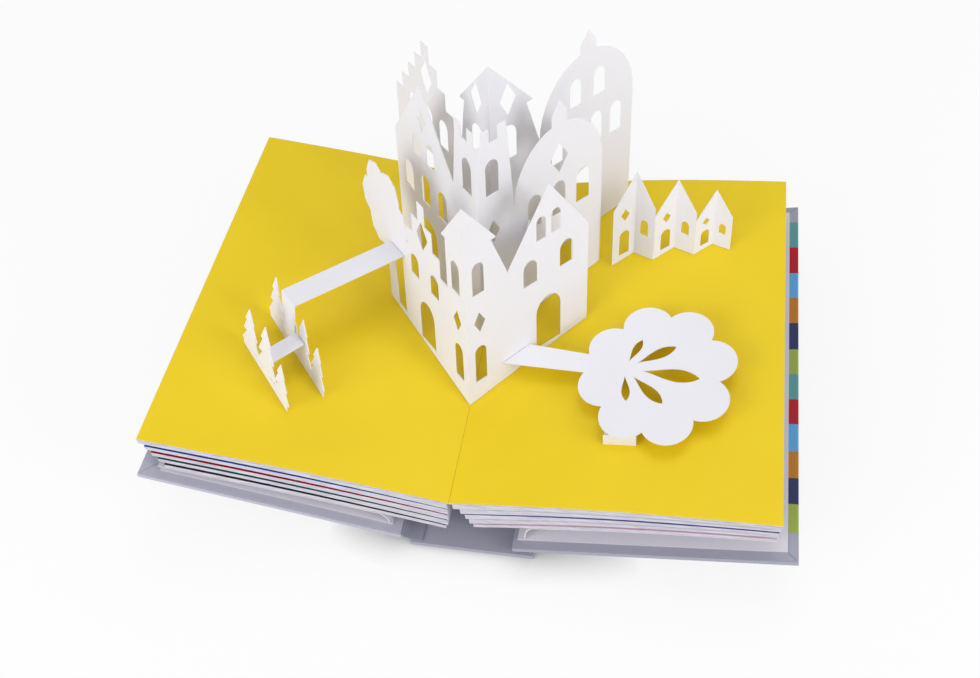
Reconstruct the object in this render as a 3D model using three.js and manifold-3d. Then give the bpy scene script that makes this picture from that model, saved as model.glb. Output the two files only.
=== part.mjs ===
// An open pop-up book: a case of two boards and a spine board, two stacks of folded card leaves,
// one open spread, and a paper town that stands on it. Millimetres, +Z up. The gutter lies in the
// plane x = 0, the book is centred on y = 0, and the underside of the spine board is at z = 0.

import * as THREE from 'three';
import { mergeVertices } from 'three/addons/utils/BufferGeometryUtils.js';
import Module from 'manifold-3d';

const wasm = await Module();
wasm.setup();

const degrees = THREE.MathUtils.degToRad;

// Sizes of the book
const pageWidth = 148;
const pageLength = 205;
const leftPageTilt = degrees(11.5);
const rightPageTilt = degrees(5.5);
const leftPageBulge = 1.5; // how far a page bows up between gutter and fore-edge
const rightPageBulge = 3;
const spreadThickness = 0.8;
const pageSteps = 12; // straight facets in a page's bow
const seam = 0.3; // air between pieces that are glued or rest on each other

// Case
const boardThickness = 3;
const boardWidth = 131;
const boardSquare = 4.5; // how far the boards stand past the leaves at head and tail
const boardRounding = 0.6;
const boardInnerEnd = 28; // from the gutter plane to a board's inner end
const boardRise = 6; // underside of a board's inner end above the table
const leftBoardTilt = degrees(15);
const rightBoardTilt = degrees(9.5);
const spineWidth = 61;
const spineShift = 7; // the spine lies this far to the right of the gutter
const spineThickness = 3;
const clothThickness = 0.7;
const clothLap = 6; // how far the cloth is glued onto the spine board
const clothBend = 1.2; // how far inside the spine's edge the cloth turns up
const wedgeAtEdge = 2.8; // air between the front endpapers at the fore-edge

// Leaves: each stack is folded card spreads glued back to back
const leafCount = 5;
const leftStackAtGutter = 27;
const leftStackAtEdge = 23.5;
const rightStackAtGutter = 23;
const rightStackAtEdge = 13;
const leafShare = 0.62; // a leaf's part of one pitch, the rest is the gap of a closed spread
const gapDepth = 11; // how far the gaps between leaves run in
const leftInnerEnds = [1.2, 1.7, 2.3, 3.2, 4.6];
const rightInnerEnds = [1.6, 4.6, 6.4, 7.8, 9.4];
const leftEdgeStep = 1.3; // each leaf's fore-edge lies this far inside the one above
const rightEdgeStep = 0.3;

// Endpapers
const endpaperThickness = 0.5;
const leftEndpaperFold = 32;
const rightEndpaperFold = 48;
const foldOut = 2.5; // a flyleaf's fold bows out this far towards the spine

// Paper town
const cardThickness = 0.5;
const wingAngle = degrees(45); // between a wing's foot and the gutter
const foldLean = degrees(22); // the folds lean back, away from the reader
const sill = 2.2; // strip of card left under a door
const arcSteps = 8;

const paper = {
	case: new THREE.MeshStandardMaterial( { name: 'case_paper', color: 0x9c9ca8, roughness: 0.65, metalness: 0 } ),
	cloth: new THREE.MeshStandardMaterial( { name: 'joint_cloth', color: 0x8a8a96, roughness: 0.8, metalness: 0 } ),
	leaves: new THREE.MeshStandardMaterial( { name: 'leaf_card', color: 0xe6e2e8, roughness: 0.8, metalness: 0 } ),
	spread: new THREE.MeshStandardMaterial( { name: 'yellow_card', color: 0xe9c81c, roughness: 0.6, metalness: 0 } ),
	endpaper: new THREE.MeshStandardMaterial( { name: 'endpaper', color: 0xe9e7ee, roughness: 0.75, metalness: 0 } ),
	card: new THREE.MeshStandardMaterial( { name: 'white_card', color: 0xf4f2f1, roughness: 0.75, metalness: 0 } )
};

const book = new THREE.Group();

function add( name, geometry, material ) {

	const mesh = new THREE.Mesh( geometry, material );
	mesh.name = name;
	book.add( mesh );
	return mesh;

}

// Solids for joining and cutting

function solidOf( geometry ) {

	const bare = geometry.clone();
	bare.deleteAttribute( 'normal' );
	bare.deleteAttribute( 'uv' );
	const merged = mergeVertices( bare, 1e-5 );
	return new wasm.Manifold( new wasm.Mesh( {
		numProp: 3,
		vertProperties: new Float32Array( merged.attributes.position.array ),
		triVerts: new Uint32Array( merged.index.array )
	} ) );

}

function geometryOf( solid ) {

	const { vertProperties, triVerts } = solid.getMesh();
	const geometry = new THREE.BufferGeometry();
	geometry.setAttribute( 'position', new THREE.BufferAttribute( new Float32Array( vertProperties ), 3 ) );
	geometry.setIndex( new THREE.BufferAttribute( new Uint32Array( triVerts ), 1 ) );
	geometry.computeVertexNormals();
	return geometry;

}

function joined( solids ) {

	return solids.reduce( ( whole, piece ) => whole.add( piece ) );

}

function extruded( shape, depth ) {

	return new THREE.ExtrudeGeometry( shape, { depth, bevelEnabled: false, curveSegments: arcSteps } );

}

// A section drawn in x and z, run along the book and centred on y = 0
function alongBook( section, length ) {

	const geometry = extruded( section, length );
	geometry.rotateX( Math.PI / 2 );
	geometry.translate( 0, length / 2, 0 );
	return geometry;

}

// A band of even thickness that follows a bent line, with mitred corners
function bandSection( points, thickness ) {

	const line = points.map( ( [ x, y ] ) => new THREE.Vector2( x, y ) );
	const offsets = line.map( ( point, i ) => {

		const before = i > 0 ? point.clone().sub( line[ i - 1 ] ).normalize() : null;
		const after = i < line.length - 1 ? line[ i + 1 ].clone().sub( point ).normalize() : null;
		const a = before ?? after;
		const b = after ?? before;
		const normal = new THREE.Vector2( - a.y - b.y, a.x + b.x ).normalize();
		const stretch = 1 / Math.max( 0.3, normal.dot( new THREE.Vector2( - a.y, a.x ) ) );
		return normal.multiplyScalar( thickness * stretch / 2 );

	} );
	const upper = line.map( ( point, i ) => point.clone().add( offsets[ i ] ) );
	const lower = line.map( ( point, i ) => point.clone().sub( offsets[ i ] ) ).reverse();
	return new THREE.Shape( [ ...upper, ...lower ] );

}

// The bowed pages

const sides = {
	left: { sign: - 1, tilt: leftPageTilt, bulge: leftPageBulge },
	right: { sign: 1, tilt: rightPageTilt, bulge: rightPageBulge }
};

function pageReach( side ) {

	return pageWidth * Math.cos( sides[ side ].tilt );

}

// Height of the open page above the gutter, at a distance from the gutter plane
function pageRise( side, distance ) {

	const { tilt, bulge } = sides[ side ];
	const share = THREE.MathUtils.clamp( distance / pageReach( side ), 0, 1 );
	return distance * Math.tan( tilt ) + bulge * Math.sin( Math.PI * share );

}

// The left stack lies on the front board at its fore-edge, and sets the height of the gutter
const gutterHeight = boardTop( leftBoardTilt, pageReach( 'left' ) ) + wedgeAtEdge + 2 * endpaperThickness
	+ leftStackAtEdge + 3 * seam + spreadThickness - pageRise( 'left', pageReach( 'left' ) );

function spacedBetween( from, to, steps ) {

	return Array.from( { length: steps + 1 }, ( _, i ) => from + ( to - from ) * i / steps );

}

function openSpread() {

	const top = [
		...spacedBetween( - pageReach( 'left' ), 0, pageSteps ).map( x => [ x, pageRise( 'left', - x ) ] ),
		...spacedBetween( 0, pageReach( 'right' ), pageSteps ).slice( 1 ).map( x => [ x, pageRise( 'right', x ) ] )
	].map( ( [ x, rise ] ) => new THREE.Vector2( x, gutterHeight + rise ) );
	const under = top.map( point => new THREE.Vector2( point.x, point.y - spreadThickness ) ).reverse();
	return alongBook( new THREE.Shape( [ ...top, ...under ] ), pageLength );

}

// Depth of a stack's underside below the open page
function stackDepth( side, distance ) {

	const [ atGutter, atEdge ] = side === 'left'
		? [ leftStackAtGutter, leftStackAtEdge ]
		: [ rightStackAtGutter, rightStackAtEdge ];
	return THREE.MathUtils.lerp( atGutter, atEdge, distance / pageReach( side ) );

}

// The part of a stack between two shares of its depth, from one distance to another
function stackLayer( side, upper, lower, from, to, length ) {

	const { sign } = sides[ side ];
	const under = spreadThickness + seam;
	const level = ( distance, share ) => gutterHeight + pageRise( side, distance )
		- under - share * stackDepth( side, distance );
	const steps = spacedBetween( from, to, pageSteps );
	const top = steps.map( d => new THREE.Vector2( sign * d, level( d, upper ) ) );
	const bottom = steps.map( d => new THREE.Vector2( sign * d, level( d, lower ) ) ).reverse();
	return solidOf( alongBook( new THREE.Shape( [ ...top, ...bottom ] ), length ) );

}

function leafStack( side, innerEnds, edgeStep ) {

	const pitch = 1 / ( leafCount - 1 + leafShare );
	const bite = 0.02; // share by which the gap's core reaches into the leaves
	const layers = [];
	for ( let i = 0; i < leafCount; i ++ ) {

		const outerEnd = pageReach( side ) - edgeStep * i;
		layers.push( stackLayer( side, i * pitch, ( i + leafShare ) * pitch, innerEnds[ i ], outerEnd, pageLength ) );
		if ( i === leafCount - 1 ) break;
		layers.push( stackLayer(
			side,
			( i + leafShare - bite ) * pitch,
			( i + 1 + bite ) * pitch,
			innerEnds[ i + 1 ] + gapDepth / 2,
			outerEnd - gapDepth,
			pageLength - 2 * gapDepth
		) );

	}

	return geometryOf( joined( layers ) );

}

// The case

function roundedBar( width, thickness, rounding ) {

	const shape = new THREE.Shape();
	shape.moveTo( rounding, 0 );
	shape.lineTo( width - rounding, 0 );
	shape.absarc( width - rounding, rounding, rounding, - Math.PI / 2, 0, false );
	shape.lineTo( width, thickness - rounding );
	shape.absarc( width - rounding, thickness - rounding, rounding, 0, Math.PI / 2, false );
	shape.lineTo( rounding, thickness );
	shape.absarc( rounding, thickness - rounding, rounding, Math.PI / 2, Math.PI, false );
	shape.lineTo( 0, rounding );
	shape.absarc( rounding, rounding, rounding, Math.PI, Math.PI * 1.5, false );
	return shape;

}

const boardLength = pageLength + 2 * boardSquare;

function coverBoard( side, tilt ) {

	const { sign } = sides[ side ];
	const geometry = alongBook( roundedBar( boardWidth, boardThickness, boardRounding ), boardLength );
	if ( sign < 0 ) geometry.rotateZ( Math.PI );
	geometry.rotateY( - sign * tilt );
	geometry.translate( sign * boardInnerEnd, 0, boardRise );
	return geometry;

}

// Top of a board above the table, at a distance from the gutter plane
function boardTop( tilt, distance ) {

	return boardRise + boardThickness / Math.cos( tilt ) + ( distance - boardInnerEnd ) * Math.tan( tilt );

}

function spineBoard() {

	const geometry = alongBook( roundedBar( spineWidth, spineThickness, boardRounding ), boardLength );
	geometry.translate( spineShift - spineWidth / 2, 0, 0 );
	return geometry;

}

// Cloth that joins the spine board to a cover board: it lies folded between them
function jointCloth( side ) {

	const { sign } = sides[ side ];
	const tilt = side === 'left' ? leftBoardTilt : rightBoardTilt;
	const spineEdge = spineWidth / 2 + sign * spineShift;
	const half = clothThickness / 2;
	const onSpine = spineThickness + seam + half;
	const besideBoard = boardInnerEnd - seam - half;
	const lean = boardThickness * Math.sin( tilt );
	const underBoard = boardRise - seam - half / Math.cos( tilt );
	const line = side === 'left'
		? [ [ spineEdge - clothLap, onSpine ], [ spineEdge - clothBend, onSpine ],
			[ besideBoard, boardRise ], [ besideBoard - lean, boardRise + boardThickness ] ]
		: [ [ spineEdge - clothLap, onSpine ], [ spineEdge - clothBend, onSpine ],
			[ spineEdge - clothBend, underBoard ], [ boardInnerEnd + clothBend, underBoard ] ];
	const section = bandSection( line.map( ( [ d, z ] ) => [ sign * d, z ] ), clothThickness );
	return alongBook( section, boardLength - 2 );

}

// Endpapers. The pastedown is glued on the board and the flyleaf under the stack, and the flyleaf's
// fold comes down to the pastedown.

function pastedownLevel( tilt, distance ) {

	return boardTop( tilt, distance ) + seam + endpaperThickness / 2;

}

function pastedown( side, fold, tilt ) {

	const { sign } = sides[ side ];
	const outerEnd = pageReach( side ) - 1;
	const line = [ fold, outerEnd ].map( d => [ sign * d, pastedownLevel( tilt, d ) ] );
	return alongBook( bandSection( line, endpaperThickness ), pageLength );

}

function flyleaf( side, fold, tilt ) {

	const { sign } = sides[ side ];
	const level = distance => gutterHeight + pageRise( side, distance ) - spreadThickness
		- stackDepth( side, distance ) - 2 * seam - endpaperThickness / 2;
	const foot = pastedownLevel( tilt, fold ) + endpaperThickness + seam;
	const line = [
		...spacedBetween( pageReach( side ) - 1, fold, pageSteps ).map( d => [ d, level( d ) ] ),
		[ fold - foldOut, ( foot + level( fold ) ) / 2 ],
		[ fold, foot ]
	];
	return alongBook( bandSection( line.map( ( [ d, z ] ) => [ sign * d, z ] ), endpaperThickness ), pageLength );

}

add( 'spine_board', spineBoard(), paper.case );
add( 'front_cover', coverBoard( 'left', leftBoardTilt ), paper.case );
add( 'back_cover', coverBoard( 'right', rightBoardTilt ), paper.case );
add( 'front_joint_cloth', jointCloth( 'left' ), paper.cloth );
add( 'back_joint_cloth', jointCloth( 'right' ), paper.cloth );
add( 'front_pastedown', pastedown( 'left', leftEndpaperFold, leftBoardTilt ), paper.endpaper );
add( 'back_pastedown', pastedown( 'right', rightEndpaperFold, rightBoardTilt ), paper.endpaper );
add( 'front_flyleaf', flyleaf( 'left', leftEndpaperFold, leftBoardTilt ), paper.endpaper );
add( 'back_flyleaf', flyleaf( 'right', rightEndpaperFold, rightBoardTilt ), paper.endpaper );
add( 'left_leaves', leafStack( 'left', leftInnerEnds, leftEdgeStep ), paper.leaves );
add( 'right_leaves', leafStack( 'right', rightInnerEnds, rightEdgeStep ), paper.leaves );
add( 'open_spread', openSpread(), paper.spread );

// The paper town. Outlines are drawn as points of distance and height: distance from the gutter fold,
// measured along the card, left of it negative, and height above the gutter.

function arcPoints( centre, level, radius, from, to ) {

	return spacedBetween( from, to, arcSteps )
		.map( a => [ centre + radius * Math.cos( a ), level + radius * Math.sin( a ) ] );

}

// Skyline pieces run from right to left

function gable( centre, halfWidth, eaves, ridge ) {

	return [ [ centre + halfWidth, eaves ], [ centre, ridge ], [ centre - halfWidth, eaves ] ];

}

function steppedGable( centre, halfWidth, eaves, ridge, steps ) {

	const tread = halfWidth / ( steps + 0.5 );
	const riser = ( ridge - eaves ) / steps;
	const right = [];
	for ( let i = 0; i < steps; i ++ ) {

		right.push( [ centre + halfWidth - tread * i, eaves + riser * i ] );
		right.push( [ centre + halfWidth - tread * ( i + 1 ), eaves + riser * i ] );

	}

	right.push( [ centre + tread / 2, ridge ] );
	return [ ...right, ...right.toReversed().map( ( [ s, h ] ) => [ 2 * centre - s, h ] ) ];

}

function dome( centre, radius, spring, lantern ) {

	const { halfWidth, height, roof } = lantern;
	const lean = Math.acos( halfWidth / radius );
	const foot = spring + radius * Math.sin( lean );
	return [
		...arcPoints( centre, spring, radius, 0, lean ),
		[ centre + halfWidth, foot + height ],
		[ centre, foot + height + roof ],
		[ centre - halfWidth, foot + height ],
		...arcPoints( centre, spring, radius, Math.PI - lean, Math.PI )
	];

}

function spire( halfWidth, wallTop, overhang, apex ) {

	return [
		[ halfWidth, wallTop ],
		[ halfWidth + overhang, wallTop ],
		[ 0, apex ],
		[ - halfWidth - overhang, wallTop ],
		[ - halfWidth, wallTop ]
	];

}

function battlement( halfWidth, wallTop, merlons, merlonHeight ) {

	const pitch = 2 * halfWidth / ( 2 * merlons - 1 );
	return Array.from( { length: 2 * merlons - 1 }, ( _, i ) => {

		const level = i % 2 ? wallTop : wallTop + merlonHeight;
		return [ [ halfWidth - pitch * i, level ], [ halfWidth - pitch * ( i + 1 ), level ] ];

	} ).flat();

}

// Height of the page under a point of a wing
function pageUnder( distance ) {

	return pageRise( distance < 0 ? 'left' : 'right', Math.abs( distance ) * Math.cos( wingAngle ) );

}

function archHole( centre, base, width, height ) {

	const spring = base + height - width / 2;
	return [
		[ centre - width / 2, base ],
		[ centre + width / 2, base ],
		...arcPoints( centre, spring, width / 2, 0, Math.PI )
	];

}

function doorHole( centre, width, height ) {

	return archHole( centre, pageUnder( centre ) + sill, width, height );

}

function diamondHole( centre, level, halfWidth, halfHeight ) {

	return [
		[ centre, level - halfHeight ],
		[ centre + halfWidth, level ],
		[ centre, level + halfHeight ],
		[ centre - halfWidth, level ]
	];

}

function archRow( centres, base, width, height ) {

	return centres.map( centre => archHole( centre, base, width, height ) );

}

// Everything below the open page and the seam above it
const pageBlock = ( () => {

	const margin = 20;
	const top = [
		...spacedBetween( - pageReach( 'left' ), 0, pageSteps ).map( x => [ x, pageRise( 'left', - x ) ] ),
		...spacedBetween( 0, pageReach( 'right' ), pageSteps ).slice( 1 ).map( x => [ x, pageRise( 'right', x ) ] )
	].map( ( [ x, rise ] ) => new THREE.Vector2( x, gutterHeight + rise + seam ) );
	const section = new THREE.Shape( [
		...top,
		new THREE.Vector2( pageReach( 'right' ), 0 ),
		new THREE.Vector2( - pageReach( 'left' ), 0 )
	] );
	return solidOf( alongBook( section, pageLength + margin ) );

} )();

// Skyline pieces meet in shared corners: each corner is kept once
function cleanLoop( points ) {

	return points.filter( ( point, i ) => point.distanceTo( points[ ( i + points.length - 1 ) % points.length ] ) > 1e-4 );

}

const cardFoot = 12; // cut cards start this far under the gutter and are trimmed to the page
const cutLength = 260; // a cutting outline runs this far along the book
const townHeight = 125;

// Distance along the book by which a leaning card stands back at a height above the gutter
function setBack( height ) {

	return height * Math.tan( foldLean );

}

// A geometry that leans back from the gutter's level upwards
function leant( geometry ) {

	geometry.applyMatrix4( new THREE.Matrix4().makeShear( 0, 0, 0, 0, 0, Math.tan( foldLean ) ) );
	geometry.translate( 0, - setBack( gutterHeight ), 0 );
	return geometry;

}

// A card cut to an outline and folded to a plan: the plan gives the folds, the outline the cuts
function foldedCard( { plan, skyline, holes, across, crowns = [] } ) {

	const prism = ( points, length ) => solidOf( alongBook(
		new THREE.Shape( cleanLoop( points.map( ( [ s, h ] ) => new THREE.Vector2( s * across, gutterHeight + h ) ) ) ),
		length
	) );
	const right = skyline[ 0 ][ 0 ];
	const left = skyline[ skyline.length - 1 ][ 0 ];
	const outline = joined( [
		prism( [ [ left, - cardFoot ], [ right, - cardFoot ], ...skyline ], cutLength ),
		...crowns.map( crown => prism( crown, cutLength ) )
	] );
	const cut = holes.reduce( ( rest, hole ) => rest.subtract( prism( hole, cutLength + 2 ) ), outline );
	const upright = extruded( bandSection( plan, cardThickness ), townHeight + cardFoot );
	upright.translate( 0, 0, gutterHeight - cardFoot - 1 );
	return geometryOf( solidOf( leant( upright ) ).intersect( cut ).subtract( pageBlock ) );

}

// A V-fold: two wings that stand on the left and the right page and meet at a fold over the gutter
function vFold( { foldY, length, overhang = 0, skyline, holes, crowns } ) {

	const across = Math.cos( wingAngle );
	const reach = ( length + overhang + 2 ) * across;
	const back = foldY + ( length + overhang + 2 ) * Math.sin( wingAngle );
	return foldedCard( {
		plan: [ [ - reach, back ], [ 0, foldY ], [ reach, back ] ], skyline, holes, crowns, across
	} );

}

const frontStreet = {
	foldY: - 48.5,
	length: 72,
	overhang: 23, // the tree's crown at the left end reaches past the foot
	tower: { halfWidth: 15, wallTop: 76, overhang: 3, apex: 97 },
	rightHouse: { halfWidth: 24, eaves: 56, ridge: 86 },
	leftHouse: { halfWidth: 21, eaves: 52, ridge: 79, steps: 3 },
	tree: { trunk: 6, crownLevel: 57, crownRadius: 12, lobe: 9.5, lobes: 6 }
};

const middleStreet = {
	foldY: - 12.5,
	length: 75,
	tower: { halfWidth: 17, wallTop: 98, merlons: 4, merlonHeight: 6 },
	rightHouse: { halfWidth: 27, spring: 62, lantern: { halfWidth: 4.5, height: 5, roof: 6 } },
	leftHouse: { halfWidth: 27, eaves: 72, ridge: 104 }
};

const backStreet = {
	foldY: 21.5,
	length: 90,
	tower: { halfWidth: 22, wallTop: 88, overhang: 4, apex: 113 },
	rightHouse: { halfWidth: 30, spring: 66, lantern: { halfWidth: 5, height: 4, roof: 6 } },
	leftHouse: { halfWidth: 32, eaves: 66, ridge: 98, steps: 4 }
};

const doorShare = 0.31; // a door's width as a share of its house

// Holes of a house: a door, rows of arched lights and a diamond in the roof
function houseHoles( { halfWidth }, centre, { floors, diamond } ) {

	const door = doorHole( centre, 2 * halfWidth * doorShare, 1.05 * halfWidth );
	const lights = floors.flatMap( ( { count, base, width, height, spread } ) => archRow(
		Array.from( { length: count }, ( _, i ) => centre + spread * halfWidth * ( i - ( count - 1 ) / 2 ) ),
		base, width, height
	) );
	return diamond ? [ door, ...lights, diamondHole( centre, ...diamond ) ] : [ door, ...lights ];

}

function towerHoles( { tower }, lights, diamondLevel ) {

	const centre = tower.halfWidth / 2;
	const holes = [];
	for ( const side of [ - 1, 1 ] ) {

		for ( const { base, height } of lights ) holes.push( archHole( side * centre, base, tower.halfWidth * 0.44, height ) );
		if ( diamondLevel ) holes.push( diamondHole( side * centre, diamondLevel, tower.halfWidth * 0.22, tower.halfWidth * 0.34 ) );

	}

	return holes;

}

function frontStreetFold() {

	const { length, tower, rightHouse, leftHouse, tree } = frontStreet;
	const leftCentre = - tower.halfWidth - leftHouse.halfWidth;
	const leftEnd = leftCentre - leftHouse.halfWidth;
	const skyline = [
		...gable( length - rightHouse.halfWidth, rightHouse.halfWidth, rightHouse.eaves, rightHouse.ridge ),
		...spire( tower.halfWidth, tower.wallTop, tower.overhang, tower.apex ),
		...steppedGable( leftCentre, leftHouse.halfWidth, leftHouse.eaves, leftHouse.ridge, leftHouse.steps ),
		[ leftEnd, pageUnder( leftEnd ) + sill ],
		[ - length, pageUnder( - length ) + sill ]
	];
	const treeAt = tree.trunk - length;
	const crown = Array.from( { length: tree.lobes }, ( _, i ) => {

		const a = i * 2 * Math.PI / tree.lobes;
		return arcPoints(
			treeAt - tree.trunk + tree.crownRadius * Math.cos( a ),
			tree.crownLevel + tree.crownRadius * Math.sin( a ), tree.lobe, 0, 1.9 * Math.PI
		);

	} );
	const crowns = [
		...crown,
		arcPoints( treeAt - tree.trunk, tree.crownLevel, tree.crownRadius + 1, 0, 1.9 * Math.PI ),
		[ [ treeAt - tree.trunk, 0 ], [ treeAt + tree.trunk / 2, 0 ], [ treeAt, tree.crownLevel ],
			[ treeAt - tree.trunk, tree.crownLevel ] ]
	];
	const holes = [
		...houseHoles( frontStreet.rightHouse, length - rightHouse.halfWidth, { floors: [
			{ count: 2, base: 43, width: 8, height: 12, spread: 0.9 },
			{ count: 2, base: 62, width: 5.5, height: 11, spread: 0.36 }
		] } ),
		...houseHoles( frontStreet.leftHouse, leftCentre, { floors: [
			{ count: 2, base: 39, width: 7, height: 11, spread: 0.85 }
		], diamond: [ 64, 5, 7 ] } ),
		...towerHoles( frontStreet, [ { base: 54, height: 15 }, { base: 10, height: 18 } ], 40 )
	];
	return vFold( { ...frontStreet, skyline, holes, crowns } );

}

function middleStreetFold() {

	const { length, tower, rightHouse, leftHouse } = middleStreet;
	const rightCentre = length - rightHouse.halfWidth;
	const leftCentre = leftHouse.halfWidth - length;
	const skyline = [
		...dome( rightCentre, rightHouse.halfWidth, rightHouse.spring, rightHouse.lantern ),
		...battlement( tower.halfWidth, tower.wallTop, tower.merlons, tower.merlonHeight ),
		...gable( leftCentre, leftHouse.halfWidth, leftHouse.eaves, leftHouse.ridge )
	];
	const holes = [
		...houseHoles( rightHouse, rightCentre, { floors: [
			{ count: 3, base: 46, width: 8, height: 16, spread: 0.55 }
		], diamond: [ 73, 5.5, 7 ] } ),
		...houseHoles( leftHouse, leftCentre, { floors: [
			{ count: 3, base: 47, width: 8, height: 14, spread: 0.58 },
			{ count: 2, base: 68, width: 7, height: 11, spread: 0.46 }
		], diamond: [ 88, 4, 6 ] } ),
		...towerHoles( middleStreet, [ { base: 74, height: 16 } ], 56 )
	];
	return vFold( { ...middleStreet, skyline, holes } );

}

function backStreetFold() {

	const { length, tower, rightHouse, leftHouse } = backStreet;
	const rightCentre = length - rightHouse.halfWidth;
	const leftCentre = leftHouse.halfWidth - length;
	const skyline = [
		...dome( rightCentre, rightHouse.halfWidth, rightHouse.spring, rightHouse.lantern ),
		...spire( tower.halfWidth, tower.wallTop, tower.overhang, tower.apex ),
		...steppedGable( leftCentre, leftHouse.halfWidth, leftHouse.eaves, leftHouse.ridge, leftHouse.steps )
	];
	const holes = [
		...houseHoles( rightHouse, rightCentre, { floors: [
			{ count: 4, base: 50, width: 7, height: 15, spread: 0.42 },
			{ count: 2, base: 73, width: 7, height: 13, spread: 0.5 }
		] } ),
		...houseHoles( leftHouse, leftCentre, { floors: [
			{ count: 3, base: 54, width: 8, height: 14, spread: 0.46 }
		], diamond: [ 82, 5.5, 8 ] } ),
		...towerHoles( backStreet, [ { base: 66, height: 16 } ], 94 )
	];
	return vFold( { ...backStreet, skyline, holes } );

}

// Strip behind the front street that pulls it up with the middle one
const linkAt = 30; // distance along the wings
const linkHeight = 12;
const linkLevel = 40;

function linkStrip() {

	const faceAllowance = cardThickness / 2 / Math.cos( wingAngle ) + cardThickness / 2 + seam / Math.cos( wingAngle );
	const x = linkAt * Math.cos( wingAngle );
	const rise = linkAt * Math.sin( wingAngle );
	const from = frontStreet.foldY + rise + faceAllowance;
	const to = middleStreet.foldY + rise - faceAllowance;
	const geometry = new THREE.BoxGeometry( cardThickness, to - from, linkHeight );
	geometry.translate( x, ( from + to ) / 2, gutterHeight + linkLevel + linkHeight / 2 );
	return leant( geometry );

}

// What stands at the left is drawn square to the front street's left wing: out is the distance from the
// gutter's foot of that wing towards the reader, and side runs along the wing towards the gutter.

const outLean = Math.atan( Math.tan( foldLean ) * Math.sin( wingAngle ) ); // lean of a wing, square to it

function squareToWing( geometry ) {

	geometry.rotateZ( Math.PI + wingAngle );
	geometry.translate( 0, frontStreet.foldY, 0 );
	return geometry;

}

// Firs: two cards, one behind the other and parallel to the wing, with a bridge between them
const firRows = {
	front: { out: 75, side: - 64, foot: 46, trees: [ [ - 15, 29, 9.5 ], [ 2, 34, 10.5 ], [ 17, 25, 8 ] ] },
	back: { out: 56.5, side: - 67, foot: 56, trees: [ [ - 21, 31, 8.5 ], [ 7, 30, 8.5 ], [ 21, 26, 7.5 ] ] }
};
const hut = { place: - 6.5, halfWidth: 7, eaves: 18, ridge: 26 }; // in the back row; the strap is glued to it
const firBand = 5; // strip of card along the foot that joins the trees
const firTiers = 3;
const firSkirt = 0.16; // free trunk under the lowest branches, as a share of the height
const firTrunk = 0.22; // half of the trunk's width, as a share of the lowest branches'
const bridgeWidth = 9;
const bridgeLevel = 14; // above the page

// Row points are [place along the row, height, half of the lowest branches]
function firOutline( place, height, halfWidth, base ) {

	const skirt = firSkirt * height;
	const tier = ( height - skirt ) / firTiers;
	const trunk = firTrunk * halfWidth;
	const right = [ [ trunk, - cardFoot ], [ trunk, base + skirt ] ];
	for ( let i = 0; i < firTiers; i ++ ) {

		const reach = halfWidth * ( 1 - i * 0.27 );
		right.push( [ reach, base + skirt + tier * i ] );
		if ( i < firTiers - 1 ) right.push( [ reach * 0.4, base + skirt + tier * ( i + 1 ) ] );

	}

	const loop = [ ...right, [ 0, base + height ], ...right.toReversed().map( ( [ s, h ] ) => [ - s, h ] ) ];
	return loop.map( ( [ s, h ] ) => [ place + s, h ] );

}

function hutOutline( base ) {

	const { place, halfWidth, eaves, ridge } = hut;
	return [
		[ place - halfWidth, - cardFoot ],
		[ place + halfWidth, - cardFoot ],
		[ place + halfWidth, base + eaves ],
		[ place, base + ridge ],
		[ place - halfWidth, base + eaves ]
	];

}

// Distance from the gutter plane of a point given by out and side
function fromGutter( out, side ) {

	return ( out - side ) * Math.cos( wingAngle );

}

function firLevel( row, place ) {

	return pageRise( 'left', fromGutter( row.out, row.side + place ) );

}

function firRow( row ) {

	const upright = points => {

		const card = extruded(
			new THREE.Shape( points.map( ( [ s, h ] ) => new THREE.Vector2( s, gutterHeight + h ) ) ),
			cardThickness
		);
		card.rotateX( Math.PI / 2 );
		card.rotateZ( Math.PI / 2 );
		card.translate( row.out - cardThickness / 2, row.side, 0 );
		const lean = - Math.tan( outLean );
		card.applyMatrix4( new THREE.Matrix4().makeShear( 0, 0, 0, 0, lean, 0 ) );
		card.translate( - lean * ( gutterHeight + firLevel( row, 0 ) ), 0, 0 );
		return solidOf( squareToWing( card ) );

	};
	const ends = [ - row.foot / 2, row.foot / 2 ];
	const band = upright( [
		[ ends[ 0 ], - cardFoot ],
		[ ends[ 1 ], - cardFoot ],
		[ ends[ 1 ], firLevel( row, ends[ 1 ] ) + firBand ],
		[ ends[ 0 ], firLevel( row, ends[ 0 ] ) + firBand ]
	] );
	const trees = row.trees.map( ( [ place, height, halfWidth ] ) => upright(
		firOutline( place, height, halfWidth, firLevel( row, place ) )
	) );
	const huts = row === firRows.back ? [ upright( hutOutline( firLevel( row, hut.place ) ) ) ] : [];
	return geometryOf( joined( [ band, ...trees, ...huts ] ).subtract( pageBlock ) );

}

// Out of a leaning row at a height above the gutter
function rowOut( row, level ) {

	return row.out - ( level - firLevel( row, 0 ) ) * Math.tan( outLean );

}

function firBridge() {

	const { front, back } = firRows;
	const place = front.trees[ 1 ][ 0 ] + front.side;
	const level = firLevel( front, 0 ) + bridgeLevel;
	const clear = cardThickness / 2 + seam + 0.2;
	const line = [
		[ rowOut( back, level ) + clear, gutterHeight + level ],
		[ rowOut( front, level ) - clear, gutterHeight + level ]
	];
	const geometry = alongBook( bandSection( line, cardThickness ), bridgeWidth );
	geometry.translate( 0, place, 0 );
	return squareToWing( geometry );

}

// Strap: an arm out from the front street's left wing, with its end folded down and glued to the back firs
const strapAt = 73.5; // distance along the wing to the middle of the arm
const strapLevel = 43.5;
const strapRise = 8;
const strapWidth = 13;
const strapFlap = 24;

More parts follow.
